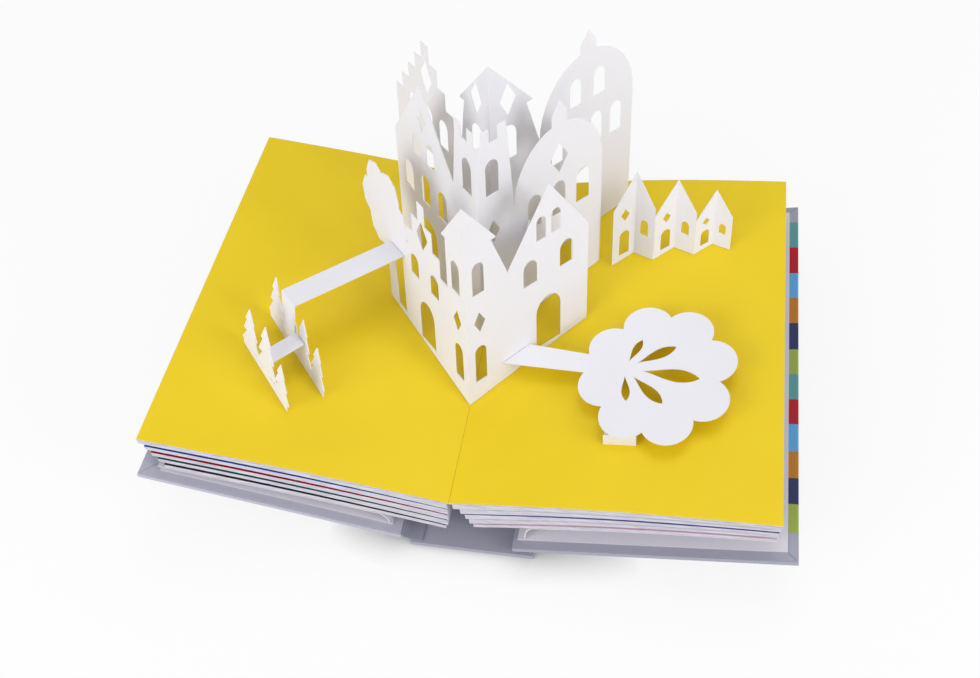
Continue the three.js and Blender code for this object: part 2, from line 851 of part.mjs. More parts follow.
function strap() {

	const start = - setBack( strapLevel ) * Math.sin( wingAngle ) + cardThickness / 2 / Math.cos( outLean ) + seam;
	const top = strapLevel + strapRise;
	const onRow = level => rowOut( firRows.back, level ) + cardThickness + seam;
	const line = [
		[ start, gutterHeight + strapLevel ],
		[ onRow( top ), gutterHeight + top ],
		[ onRow( top - strapFlap ), gutterHeight + top - strapFlap ]
	];
	const geometry = alongBook( bandSection( line, cardThickness ), strapWidth );
	geometry.translate( 0, - strapAt, 0 );
	return squareToWing( geometry );

}

// Round tree: a layer that floats over the right page, held by the front street and by its own folded leg
const layerRaise = 10.5;
const crownAt = [ 89, - 33 ];
const crownRadius = 25;
const crownStretch = 1.12; // across the trunk
const crownLobes = 8;
const lobeRadius = 12;
const trunkFoot = [ 20, 36 ]; // where the trunk meets the front street's right wing
const trunkNeck = 5; // half of the trunk's width at the crown
const legAt = 75;
const legWidth = 15;
const branchHoles = 5;
const branchFan = degrees( 150 );

function layerLevel( x ) {

	return gutterHeight + layerRaise + x * Math.tan( rightPageTilt );

}

function sloped( geometry ) {

	geometry.applyMatrix4( new THREE.Matrix4().makeShear( 0, Math.tan( rightPageTilt ), 0, 0, 0, 0 ) );
	geometry.translate( 0, 0, gutterHeight + layerRaise );
	return geometry;

}

function disc( x, y, radius ) {

	const shape = new THREE.Shape();
	shape.absarc( x, y, radius, 0, Math.PI * 2 );
	return extruded( shape, cardThickness );

}

function treeLayer() {

	const stand = cardThickness / 2 + seam;
	const onWing = s => new THREE.Vector2(
		s * Math.cos( wingAngle ) + stand * Math.sin( wingAngle ),
		frontStreet.foldY + s * Math.sin( wingAngle ) - stand * Math.cos( wingAngle )
			+ setBack( layerRaise + s * Math.cos( wingAngle ) * Math.tan( rightPageTilt ) )
	);
	const foot = trunkFoot.map( onWing );
	const crown = new THREE.Vector2( ...crownAt );
	const grow = crown.clone().sub( foot[ 0 ].clone().add( foot[ 1 ] ).multiplyScalar( 0.5 ) ).normalize();
	const across = new THREE.Vector2( - grow.y, grow.x );
	const at = ( along, aside ) => crown.clone()
		.addScaledVector( grow, along ).addScaledVector( across, aside );

	const lobes = Array.from( { length: crownLobes }, ( _, i ) => {

		const a = i * 2 * Math.PI / crownLobes + Math.PI / crownLobes;
		const middle = at( crownRadius * Math.cos( a ), crownRadius * crownStretch * Math.sin( a ) );
		return solidOf( sloped( disc( middle.x, middle.y, lobeRadius ) ) );

	} );
	const core = solidOf( sloped( disc( crown.x, crown.y, crownRadius + 2 ) ) );
	const trunk = solidOf( sloped( extruded(
		new THREE.Shape( [ foot[ 1 ], foot[ 0 ], at( - crownRadius, - trunkNeck ), at( - crownRadius, trunkNeck ) ] ),
		cardThickness
	) ) );

	// gaps between the branches fan out from the top of the trunk
	const fork = at( - crownRadius * 0.62, 0 );
	const holes = Array.from( { length: branchHoles }, ( _, i ) => {

		const a = Math.atan2( grow.y, grow.x ) + branchFan * ( i / ( branchHoles - 1 ) - 0.5 );
		const reach = crownRadius * ( 1.42 - 0.34 * Math.abs( i - ( branchHoles - 1 ) / 2 ) );
		const outline = [ [ 0.24, 0 ], [ 0.7, - 0.11 ], [ 0.92, - 0.09 ], [ 1, 0 ], [ 0.92, 0.09 ], [ 0.7, 0.11 ] ];
		const gap = new THREE.Shape( outline.map( ( [ u, v ] ) => new THREE.Vector2(
			fork.x + reach * ( u * Math.cos( a ) - v * Math.sin( a ) ),
			fork.y + reach * ( u * Math.sin( a ) + v * Math.cos( a ) )
		) ) );
		const cutter = extruded( gap, 20 );
		cutter.translate( 0, 0, layerLevel( fork.x ) - 10 );
		return solidOf( cutter );

	} );

	const legY = crown.y - crownRadius * crownStretch - lobeRadius * 0.6;
	const [ legFrom, legTo ] = [ legAt - legWidth / 2, legAt + legWidth / 2 ];
	const legCard = alongBook( new THREE.Shape( [
		new THREE.Vector2( legFrom, gutterHeight ),
		new THREE.Vector2( legTo, gutterHeight ),
		new THREE.Vector2( legTo, layerLevel( legTo ) + cardThickness / 2 ),
		new THREE.Vector2( legFrom, layerLevel( legFrom ) + cardThickness / 2 )
	] ), cardThickness );
	legCard.translate( 0, legY, 0 );
	const leg = solidOf( legCard ).subtract( pageBlock );
	const whole = joined( [ core, ...lobes, trunk ] );
	return geometryOf( holes.reduce( ( rest, hole ) => rest.subtract( hole ), whole ).add( leg ) );

}

// Row of small houses: one strip folded to a zigzag, at the back of the right page
const rowAt = [ 60, 36 ]; // foot of the first house's left corner
const rowDrift = 3.5; // each house stands this much further back than the last
const rowHouses = [
	{ width: 21, depth: 9, wall: 27, roof: 15 },
	{ width: 20.5, depth: 8.5, wall: 22, roof: 13 },
	{ width: 18, depth: 7.5, wall: 17, roof: 11 }
];

function houseRow() {

	const skyline = [];
	const holes = [];
	const plan = [ rowAt ];
	let [ x, y ] = rowAt;
	for ( const { width, depth, wall, roof } of rowHouses ) {

		const fold = x + width / 2;
		const floor = pageRise( 'right', fold );
		plan.push( [ fold, y + depth ], [ x + width, y + rowDrift ] );
		skyline.unshift( [ x + width, floor + wall ], [ fold, floor + wall + roof ], [ x, floor + wall ] );
		holes.push(
			archHole( x + width * 0.27, floor + sill, width * 0.22, wall * 0.46 ),
			archHole( x + width * 0.74, floor + wall * 0.42, width * 0.19, wall * 0.3 ),
			diamondHole( x + width * 0.27, floor + wall * 0.84, width * 0.1, wall * 0.12 )
		);
		x += width;
		y += rowDrift;

	}

	return foldedCard( { plan, skyline, holes, across: 1 } );

}

add( 'front_street_fold', frontStreetFold(), paper.card );
add( 'middle_street_fold', middleStreetFold(), paper.card );
add( 'back_street_fold', backStreetFold(), paper.card );
add( 'link_strip', linkStrip(), paper.card );
add( 'strap', strap(), paper.card );
add( 'front_fir_row', firRow( firRows.front ), paper.card );
add( 'back_fir_row', firRow( firRows.back ), paper.card );
add( 'fir_bridge', firBridge(), paper.card );
add( 'tree_layer', treeLayer(), paper.card );
add( 'house_row', houseRow(), paper.card );

export default book;
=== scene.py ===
# Looks for an open pop-up book with a cut-card town

import math

import bmesh
import bpy
from mathutils import Matrix, Vector


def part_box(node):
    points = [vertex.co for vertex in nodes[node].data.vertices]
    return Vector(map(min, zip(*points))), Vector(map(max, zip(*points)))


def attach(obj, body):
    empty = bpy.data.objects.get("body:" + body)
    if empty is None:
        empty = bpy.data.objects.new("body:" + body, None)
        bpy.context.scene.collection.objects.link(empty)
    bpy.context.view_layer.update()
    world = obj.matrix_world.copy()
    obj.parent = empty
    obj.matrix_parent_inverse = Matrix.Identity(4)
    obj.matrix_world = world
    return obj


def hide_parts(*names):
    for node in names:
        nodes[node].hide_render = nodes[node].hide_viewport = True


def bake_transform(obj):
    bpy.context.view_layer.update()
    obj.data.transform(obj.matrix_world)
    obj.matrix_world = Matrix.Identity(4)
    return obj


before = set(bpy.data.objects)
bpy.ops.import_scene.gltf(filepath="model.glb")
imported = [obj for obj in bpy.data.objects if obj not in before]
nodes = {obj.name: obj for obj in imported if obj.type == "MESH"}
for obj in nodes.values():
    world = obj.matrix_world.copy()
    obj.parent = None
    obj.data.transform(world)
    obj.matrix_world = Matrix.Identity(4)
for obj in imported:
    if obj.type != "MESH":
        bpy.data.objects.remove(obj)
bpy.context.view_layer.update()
scene = bpy.context.scene
mm = 0.001


# Camera, floor and light

cameraValues = {
    "place": (99.1, -303.9, 450.6),  # mm, in the book's frame
    "azimuth": 18.04,
    "elevation": 52.8,
    "roll": -9.85,
    "focal": 1003.5, "pictureWidth": 980,  # pixels
    "sensorWidth": 36,
}


def makeCamera():
    v = cameraValues
    az, el, roll = (math.radians(v[k]) for k in ("azimuth", "elevation", "roll"))
    back = Vector((math.sin(az) * math.cos(el), -math.cos(az) * math.cos(el), math.sin(el)))
    side = Vector((0, 0, 1)).cross(back).normalized()
    up = back.cross(side)
    right = math.cos(roll) * side + math.sin(roll) * up
    top = -math.sin(roll) * side + math.cos(roll) * up
    data = bpy.data.cameras.new("camera")
    data.sensor_width = v["sensorWidth"]
    data.lens = v["focal"] / v["pictureWidth"] * v["sensorWidth"]
    camera = bpy.data.objects.new("camera", data)
    turn = Matrix((right, top, back)).transposed().to_4x4()
    camera.matrix_world = Matrix.Translation(Vector(v["place"]) * mm) @ turn
    scene.collection.objects.link(camera)
    scene.camera = camera


lightValues = {
    "world": 0.55, "worldColour": (0.97, 0.98, 1.0, 1), "seenColour": (1, 1, 1, 1),
    "lamps": [
        # name, place in m, aimed at, size in m, watts
        ("overhead", (0.15, 0.45, 1.3), (0, 0, 0.05), 0.8, 3.2),
        ("frontFill", (-0.9, -1.0, 0.65), (0, 0, 0.06), 1.0, 9.5),
        ("rightFill", (1.35, -0.55, 0.65), (0, 0, 0.05), 0.8, 8.5),
    ],
}


def makeLamps():
    for name, place, aim, size, watts in lightValues["lamps"]:
        data = bpy.data.lights.new(name, "AREA")
        data.shape = "DISK"
        data.size = size
        data.energy = watts
        lamp = bpy.data.objects.new(name, data)
        lamp.location = place
        lamp.rotation_euler = (Vector(place) - Vector(aim)).to_track_quat("Z", "Y").to_euler()
        scene.collection.objects.link(lamp)


def makeWorld():
    world = bpy.data.worlds.new("studio")
    scene.world = world
    world.use_nodes = True
    tree = world.node_tree
    tree.nodes.clear()
    out = tree.nodes.new("ShaderNodeOutputWorld")
    mix = tree.nodes.new("ShaderNodeMixShader")
    path = tree.nodes.new("ShaderNodeLightPath")
    light = tree.nodes.new("ShaderNodeBackground")
    seen = tree.nodes.new("ShaderNodeBackground")
    light.inputs["Color"].default_value = lightValues["worldColour"]
    light.inputs["Strength"].default_value = lightValues["world"]
    seen.inputs["Color"].default_value = lightValues["seenColour"]
    tree.links.new(path.outputs["Is Camera Ray"], mix.inputs["Fac"])
    tree.links.new(light.outputs[0], mix.inputs[1])
    tree.links.new(seen.outputs[0], mix.inputs[2])
    tree.links.new(mix.outputs[0], out.inputs["Surface"])


floorValues = {
    "radius": 3.0, "segments": 64, "colour": (0.93, 0.93, 0.94, 1), "roughness": 0.9,
    # what the camera sees of the floor is mostly a white glow, painted darker near the book as a
    # painted contact shadow
    "seenWhite": 0.8,  # share of its own white in what the camera sees
    "shadowReach": 0.016,  # m around the book in which that white darkens
}


def makeFloor():
    v = floorValues
    bm = bmesh.new()
    bmesh.ops.create_circle(bm, cap_ends=True, segments=v["segments"], radius=v["radius"])
    mesh = bpy.data.meshes.new("floor")
    bm.to_mesh(mesh)
    bm.free()
    floor = bpy.data.objects.new("floor", mesh)
    scene.collection.objects.link(floor)
    material = bpy.data.materials.new("floorWhite")
    material.use_nodes = True
    tree = material.node_tree
    surface = tree.nodes["Principled BSDF"]
    surface.inputs["Base Color"].default_value = v["colour"]
    surface.inputs["Roughness"].default_value = v["roughness"]
    # the glow that the camera sees, darkened by ambient occlusion near the book: a painted contact
    # shadow
    glow = tree.nodes.new("ShaderNodeEmission")
    near = tree.nodes.new("ShaderNodeAmbientOcclusion")
    near.inputs["Distance"].default_value = v["shadowReach"]
    tree.links.new(near.outputs["Color"], glow.inputs["Color"])
    path = tree.nodes.new("ShaderNodeLightPath")
    share = tree.nodes.new("ShaderNodeMath")
    share.operation = "MULTIPLY"
    share.inputs[1].default_value = v["seenWhite"]
    mix = tree.nodes.new("ShaderNodeMixShader")
    tree.links.new(path.outputs["Is Camera Ray"], share.inputs[0])
    tree.links.new(share.outputs[0], mix.inputs["Fac"])
    tree.links.new(surface.outputs[0], mix.inputs[1])
    tree.links.new(glow.outputs[0], mix.inputs[2])
    tree.links.new(mix.outputs[0], tree.nodes["Material Output"].inputs["Surface"])
    mesh.materials.append(material)


makeCamera()
makeLamps()
makeWorld()
makeFloor()
print("camera, lamps and floor made")


# Shared effects

def newGroup(name, inputs, outputs):
    tree = bpy.data.node_groups.new(name, "ShaderNodeTree")
    for label, kind, value in inputs:
        socket = tree.interface.new_socket(name=label, in_out="INPUT", socket_type=kind)
        socket.default_value = value
    for label, kind in outputs:
        tree.interface.new_socket(name=label, in_out="OUTPUT", socket_type=kind)
    return tree, tree.nodes.new("NodeGroupInput"), tree.nodes.new("NodeGroupOutput")


def makePaperGrain():
    # fine felt of paper: a height for the bump, and a faint cloudiness for the colour
    tree, given, out = newGroup(
        "paperGrain",
        [("Grain", "NodeSocketFloat", 900.0), ("Cloud", "NodeSocketFloat", 35.0)],
        [("Height", "NodeSocketFloat"), ("Cloud", "NodeSocketFloat")],
    )
    place = tree.nodes.new("ShaderNodeTexCoord")
    grain = tree.nodes.new("ShaderNodeTexNoise")
    grain.inputs["Detail"].default_value = 4
    grain.inputs["Roughness"].default_value = 0.65
    cloud = tree.nodes.new("ShaderNodeTexNoise")
    cloud.inputs["Detail"].default_value = 3
    tree.links.new(place.outputs["Object"], grain.inputs["Vector"])
    tree.links.new(place.outputs["Object"], cloud.inputs["Vector"])
    tree.links.new(given.outputs["Grain"], grain.inputs["Scale"])
    tree.links.new(given.outputs["Cloud"], cloud.inputs["Scale"])
    tree.links.new(grain.outputs["Fac"], out.inputs["Height"])
    tree.links.new(cloud.outputs["Fac"], out.inputs["Cloud"])
    return tree


def makePlyLines():
    # the cut edge of glued card: fine plies across Z, uneven along the edge
    tree, given, out = newGroup(
        "plyLines",
        [("Plies", "NodeSocketFloat", 1600.0), ("Depth", "NodeSocketFloat", 0.5)],
        [("Shade", "NodeSocketFloat")],
    )
    place = tree.nodes.new("ShaderNodeTexCoord")
    stretch = tree.nodes.new("ShaderNodeMapping")
    stretch.inputs["Scale"].default_value = (0.06, 0.06, 1)
    noise = tree.nodes.new("ShaderNodeTexNoise")
    noise.inputs["Detail"].default_value = 2
    spread = tree.nodes.new("ShaderNodeMapRange")
    spread.inputs["From Min"].default_value = 0.3
    spread.inputs["From Max"].default_value = 0.7
    less = tree.nodes.new("ShaderNodeMath")
    less.operation = "MULTIPLY"
    tree.links.new(place.outputs["Object"], stretch.inputs["Vector"])
    tree.links.new(stretch.outputs[0], noise.inputs["Vector"])
    tree.links.new(given.outputs["Plies"], noise.inputs["Scale"])
    tree.links.new(noise.outputs["Fac"], spread.inputs["Value"])
    tree.links.new(spread.outputs[0], less.inputs[0])
    tree.links.new(given.outputs["Depth"], less.inputs[1])
    tree.links.new(less.outputs[0], out.inputs["Shade"])
    return tree


paperGrain = makePaperGrain()
plyLines = makePlyLines()


def linear(code):
    # a colour as on a screen, such as "e9c81c", for the shader
    parts = [int(code[i:i + 2], 16) / 255 for i in (0, 2, 4)]
    return tuple(c / 12.92 if c <= 0.04045 else ((c + 0.055) / 1.055) ** 2.4 for c in parts) + (1,)


paperValues = {
    # colour, its darker cloud, roughness, grain scale, bump height in mm, cloud scale
    "whiteCard": ("eeedf2", "e8e7ed", 0.72, 1300, 0.02, 28),
    "yellowCard": ("f1d31c", "eac912", 0.55, 900, 0.012, 20),
    "casePaper": ("a6a6b5", "9e9eae", 0.48, 700, 0.03, 40),
    # white endpaper, painted darker than the white card: painted shade, for the shadow the
    # endpapers lie in under the stacks
    "endpaperWhitePaintedShade": ("dfdce3", "d7d4dc", 0.75, 1000, 0.02, 30),
    "jointCloth": ("9697a5", "8c8d9b", 0.85, 1800, 0.05, 60),
    # the page's yellow painted darker along the gutter's score: painted shade in the crease
    "creaseYellowPaintedShade": ("d9ab12", "d0a30f", 0.6, 900, 0.01, 30),
    # the same case paper painted lighter for the front cover: painted light, as more light falls on
    # the front cover than on the spine and back
    "casePaperFrontPaintedLight": ("bcbbc9", "b4b3c2", 0.48, 700, 0.03, 40),
    "gapBlue": ("1453b4", "104aa5", 0.6, 900, 0.01, 30),
    "gapRed": ("ad1238", "9c0d30", 0.6, 900, 0.01, 30),
    "gapTeal": ("1f5a5c", "184c4e", 0.6, 900, 0.01, 30),
    "gapDark": ("2a2a35", "22222b", 0.6, 900, 0.01, 30),
    "gapViolet": ("6d62b0", "6055a3", 0.6, 900, 0.01, 30),
    "gapPink": ("d9b6c6", "cda9ba", 0.6, 900, 0.01, 30),
    "gapWhite": ("e4e2ea", "d9d7e0", 0.6, 900, 0.01, 30),
}


paperSurface = {"bumpStrength": 0.6, "specular": 0.3}


def newColourMix(tree):
    mix = tree.nodes.new("ShaderNodeMix")
    mix.data_type = "RGBA"
    return mix


def makePaper(name):
    colour, darker, roughness, grain, height, cloud = paperValues[name]
    material = bpy.data.materials.new(name)
    material.use_nodes = True
    tree = material.node_tree
    surface = tree.nodes["Principled BSDF"]
    effect = tree.nodes.new("ShaderNodeGroup")
    effect.node_tree = paperGrain
    effect.inputs["Grain"].default_value = grain
    effect.inputs["Cloud"].default_value = cloud
    mix = newColourMix(tree)
    mix.inputs["A"].default_value = linear(colour)
    mix.inputs["B"].default_value = linear(darker)
    bump = tree.nodes.new("ShaderNodeBump")
    bump.inputs["Strength"].default_value = paperSurface["bumpStrength"]
    bump.inputs["Distance"].default_value = height * mm
    tree.links.new(effect.outputs["Cloud"], mix.inputs["Factor"])
    tree.links.new(mix.outputs["Result"], surface.inputs["Base Color"])
    tree.links.new(effect.outputs["Height"], bump.inputs["Height"])
    tree.links.new(bump.outputs[0], surface.inputs["Normal"])
    surface.inputs["Roughness"].default_value = roughness
    surface.inputs["Specular IOR Level"].default_value = paperSurface["specular"]
    return material


papers = {name: makePaper(name) for name in paperValues}


leafEdgeValues = {"plies": 1500, "depth": 0.55, "dark": "8f8a9b"}


def makeLeafEdge():
    # white card seen on its cut edges, on the endpaper's darker white with its painted shade
    material = makePaper("endpaperWhitePaintedShade")
    material.name = "leafEdge"
    tree = material.node_tree
    surface = tree.nodes["Principled BSDF"]
    plies = tree.nodes.new("ShaderNodeGroup")
    plies.node_tree = plyLines
    plies.inputs["Plies"].default_value = leafEdgeValues["plies"]
    plies.inputs["Depth"].default_value = leafEdgeValues["depth"]
    mix = newColourMix(tree)
    mix.inputs["B"].default_value = linear(leafEdgeValues["dark"])
    before = surface.inputs["Base Color"].links[0].from_socket
    tree.links.new(plies.outputs["Shade"], mix.inputs["Factor"])
    tree.links.new(before, mix.inputs["A"])
    tree.links.new(mix.outputs["Result"], surface.inputs["Base Color"])
    return material


papers["leafEdge"] = makeLeafEdge()

blockValues = {
    # printed blocks along the back board's fore-edge, from the foot to the head
    "colours": ["a2a3b1", "9aae4b", "26335e", "bc7a1a", "5fa5d9", "b0051d", "5b9a98", "9aae4b",
                "26335e", "bc7a1a", "5fa5d9", "b0051d", "5b9a98", "a2a3b1"],
    "ends": [-107, -92.9, -79.4, -65.5, -51.2, -36.6, -22, -7.2,
             8.2, 24.3, 41.0, 58.2, 76.1, 94.8, 107],
    "from": 141.0,  # mm from the gutter, where the print starts
    "blur": 0.1,
}


def makeBlockPrint():
    material = makePaper("casePaper")
    material.name = "blockPrint"
    tree = material.node_tree
    surface = tree.nodes["Principled BSDF"]
    before = surface.inputs["Base Color"].links[0].from_socket
    spot = tree.nodes.new("ShaderNodeTexCoord")
    split = tree.nodes.new("ShaderNodeSeparateXYZ")
    along = tree.nodes.new("ShaderNodeMapRange")
    ends = blockValues["ends"]
    along.inputs["From Min"].default_value = ends[0] * mm
    along.inputs["From Max"].default_value = ends[-1] * mm
    ramp = tree.nodes.new("ShaderNodeValToRGB")
    ramp.color_ramp.interpolation = "CONSTANT"
    steps = ramp.color_ramp.elements
    span = ends[-1] - ends[0]
    for i, colour in enumerate(blockValues["colours"]):
        # a new ramp has two steps, and the blocks after them add their own
        place = (ends[i] - ends[0]) / span
        step = steps[i] if i < 2 else steps.new(place)
        step.position = place
        step.color = linear(colour)
    edge = tree.nodes.new("ShaderNodeMapRange")
    edge.inputs["From Min"].default_value = blockValues["from"] * mm
    edge.inputs["From Max"].default_value = (blockValues["from"] + blockValues["blur"]) * mm
    mix = newColourMix(tree)
    tree.links.new(spot.outputs["Object"], split.inputs[0])
    tree.links.new(split.outputs["Y"], along.inputs["Value"])
    tree.links.new(along.outputs[0], ramp.inputs["Fac"])
    tree.links.new(split.outputs["X"], edge.inputs["Value"])
    tree.links.new(edge.outputs[0], mix.inputs["Factor"])
    tree.links.new(before, mix.inputs["A"])
    tree.links.new(ramp.outputs["Color"], mix.inputs["B"])
    tree.links.new(mix.outputs["Result"], surface.inputs["Base Color"])
    return material


papers["blockPrint"] = makeBlockPrint()
print("materials made")


# Shape of the open pages, as in the solids

bookValues = {
    "pageWidth": 148, "pageLength": 205, "spreadThickness": 0.8, "seam": 0.3,
    "gutterHeight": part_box("open_spread")[0][2] / mm + 0.8,
    "tilt": {-1: math.radians(11.5), 1: math.radians(5.5)},
    "bulge": {-1: 1.5, 1: 3.0},
    "stack": {-1: (27, 23.5), 1: (23, 13)},  # depth at the gutter and at the fore-edge
    "leaves": 5, "leafShare": 0.55, "gapDepth": 11,
    "closedShare": 0.86, "gapTaper": 2.4,  # how far a gap closes at the gutter, and how soon
    "innerEnds": {-1: (1.2, 1.7, 2.3, 3.2, 4.6), 1: (1.6, 4.6, 6.4, 7.8, 9.4)},
    "edgeStep": {-1: 1.3, 1: 0.3},
    "trims": (0, 0.25, 0.2, 0.3, 0.1),  # by which the leaves are shorter than the page
    "faceSeam": 0.004,  # share of the stack's depth between a leaf and the filling of a gap
    "scoreHalf": 0.4,
}


def pageReach(side):
    return bookValues["pageWidth"] * math.cos(bookValues["tilt"][side])


def pageLevel(side, distance):
    share = min(max(distance / pageReach(side), 0), 1)
    bow = bookValues["bulge"][side] * math.sin(math.pi * share)
    rise = distance * math.tan(bookValues["tilt"][side]) + bow
    return bookValues["gutterHeight"] + rise


def stackLevel(side, distance, share):
    # level inside a stack, at a share of its depth
    atGutter, atEdge = bookValues["stack"][side]
    depth = atGutter + (atEdge - atGutter) * distance / pageReach(side)
    top = pageLevel(side, distance) - bookValues["spreadThickness"] - bookValues["seam"]
    return top - share * depth


def leftToRight(side, inner, outer):
    return sorted((side * inner, side * outer))


def finishPiece(name, bm, materials, body, replaced=(), sharp=35):
    # edges that turn by more than sharp, in degrees, stay crisp
    bmesh.ops.recalc_face_normals(bm, faces=bm.faces)
    bmesh.ops.scale(bm, vec=(mm, mm, mm), verts=bm.verts)
    for face in bm.faces:
        face.smooth = True
    mesh = bpy.data.meshes.new(name)
    bm.to_mesh(mesh)
    bm.free()
    for material in materials:
        mesh.materials.append(papers[material])
    mesh.set_sharp_from_angle(angle=math.radians(sharp))
    piece = bpy.data.objects.new(name, mesh)
    scene.collection.objects.link(piece)
    if body:
        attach(piece, body)
    if replaced:
        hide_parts(*replaced)
    return piece


softEdge = {"width": 0.15, "segments": 2, "from": math.radians(50)}


def bowedSlab(bm, fromX, toX, top, bottom, length, steps=48, rows=2, materials=(0, 0, 0)):
    # a sheet that follows the page's bow: top and bottom are levels over x, and the materials
    # are those of its top, its underside and its edges
    made = bmesh.ops.create_grid(bm, x_segments=steps, y_segments=rows, size=0.5)["verts"]
    reach = max(v.co.x for v in made)
    for v in made:
        v.co.x = fromX + (toX - fromX) * (v.co.x / reach + 1) / 2
        v.co.y = v.co.y / reach * length / 2
        v.co.z = top(v.co.x)
    faces = list({f for v in made for f in v.link_faces})
    for face in faces:
        face.material_index = materials[0]
    lower = bmesh.ops.extrude_face_region(bm, geom=faces, use_keep_orig=True)["geom"]
    lowerVerts = [g for g in lower if isinstance(g, bmesh.types.BMVert)]
    lowerFaces = [g for g in lower if isinstance(g, bmesh.types.BMFace)]
    for v in lowerVerts:
        v.co.z = bottom(v.co.x)
    for face in lowerFaces:
        face.material_index = materials[1]
    sides = {f for v in lowerVerts for f in v.link_faces} - set(lowerFaces)
    for face in sides:
        face.material_index = materials[2]
    rim = [e for e in bm.edges if e.is_valid and any(f in sides for f in e.link_faces)
           and len(e.link_faces) == 2 and e.calc_face_angle(0) > softEdge["from"]]
    bmesh.ops.bevel(bm, geom=rim, offset=softEdge["width"], offset_type="OFFSET",
                    segments=softEdge["segments"], profile=0.5, affect="EDGES",
                    clamp_overlap=True, material=-1)


def ribbon(bm, line, thickness, length, rows):
    # a band of even thickness along the book, from its middle line in x and z
    points = [Vector((x, 0, z)) for x, z in line]
    upper, lower = [], []
    for i, point in enumerate(points):
        way = (points[min(i + 1, len(points) - 1)] - points[max(i - 1, 0)]).normalized()
        across = Vector((-way.z, 0, way.x)) * thickness / 2
        upper.append(point + across)
        lower.append(point - across)
    loop = upper + lower[::-1]
    rings = [[bm.verts.new((v.x, length * (j / rows - 0.5), v.z)) for v in loop]
             for j in range(rows + 1)]
    for one, other in zip(rings, rings[1:]):
        for i in range(len(loop)):
            k = (i + 1) % len(loop)
            bm.faces.new((one[i], one[k], other[k], other[i]))
    last = len(loop) - 1
    for ring in (rings[0], rings[-1]):
        for i in range(len(points) - 1):
            bm.faces.new((ring[i], ring[i + 1], ring[last - i - 1], ring[last - i]))


def makeOpenSpread():
    bm = bmesh.new()
    thick = bookValues["spreadThickness"]
    for side in (-1, 1):
        bowedSlab(bm, *leftToRight(side, 0, pageReach(side)),
                  lambda x, s=side: pageLevel(s, abs(x)),
                  lambda x, s=side: pageLevel(s, abs(x)) - thick,
                  bookValues["pageLength"], steps=60, rows=8, materials=(0, 1, 1))
    for face in bm.faces:
        # the score at the gutter is printed yellow too, in a darker yellow that is painted shade in
        # the crease
        if all(abs(v.co.x) < bookValues["scoreHalf"] for v in face.verts):
            face.material_index = 2
    finishPiece("yellow_spread", bm, ["yellowCard", "leafEdge", "creaseYellowPaintedShade"], "book",
                ["open_spread"])


# printed faces that show in the gaps, from the top one down
leafColours = {
    -1: ["gapBlue", "gapRed", "gapTeal", "gapDark"],
    1: ["gapWhite", "gapViolet", "gapWhite", "gapPink"],
}


def makeLeaves(side, name, replaced):
    v = bookValues
    count, share, depth, seam = v["leaves"], v["leafShare"], v["gapDepth"], v["faceSeam"]
    pitch = 1 / (count - 1 + share)
    bm = bmesh.new()

    def under(i, x):
        # share of the stack's depth down to a leaf's underside: the gap closes at the gutter
        closed = (1 - min(abs(x) / pageReach(side), 1)) ** v["gapTaper"]
        return (i + share + (v["closedShare"] - share) * closed) * pitch

    for i in range(count):
        inner = v["innerEnds"][side][i]
        outer = pageReach(side) - v["edgeStep"][side] * i
        upper = i * pitch
        below = i + 1 if i < count - 1 else 0
        bowedSlab(bm, *leftToRight(side, inner, outer),
                  lambda x, u=upper: stackLevel(side, abs(x), u),
                  lambda x, i=i: stackLevel(side, abs(x), under(i, x) if i < count - 1 else 1),
                  v["pageLength"] - v["trims"][i], materials=(i, below, 0))
        if below:
            # the gap's filling, set back from the edges
            inner, outer = v["innerEnds"][side][i + 1] + depth / 2, outer - depth
            bowedSlab(bm, *leftToRight(side, inner, outer),
                      lambda x, i=i: stackLevel(side, abs(x), under(i, x) + seam),
                      lambda x, u=upper + pitch - seam: stackLevel(side, abs(x), u),
                      v["pageLength"] - 2 * depth, materials=(below, below, below))
    finishPiece(name, bm, ["leafEdge"] + leafColours[side], "book", replaced)


makeOpenSpread()
makeLeaves(-1, "left_leaf_stack", ["left_leaves"])
makeLeaves(1, "right_leaf_stack", ["right_leaves"])
print("pages made")


# Case paper turned in over the boards' inner faces, mitred at the corners

boardValues = {
    "width": 131, "length": 214, "thickness": 3, "rounding": 0.6,
    "innerEnd": 28, "rise": 6, "tilt": {-1: math.radians(15), 1: math.radians(9.5)},
    "turnIn": 15, "paper": 0.22, "mitre": 0.25, "clear": 0.01, "inset": 0.5,
}


def onBoard(side, along, above):
    # x and z of a point on a board, from its inner end and its top face
    v = boardValues
    c, s = math.cos(v["tilt"][side]), math.sin(v["tilt"][side])
    high = v["thickness"] + above
    return side * (v["innerEnd"] + along * c - high * s), v["rise"] + along * s + high * c


def flatPiece(bm, outline, side, low, high):
    # a thin flat piece on a board: outline in distance along the board and y
    rings = []
    for above in (low, high):
        ring = []
        for along, y in outline:
            x, z = onBoard(side, along, above)
            ring.append(bm.verts.new((x, y, z)))
        rings.append(ring)
    bm.faces.new(rings[0][::-1])
    bm.faces.new(rings[1])
    for i in range(len(outline)):
        k = (i + 1) % len(outline)
        bm.faces.new((rings[0][i], rings[0][k], rings[1][k], rings[1][i]))


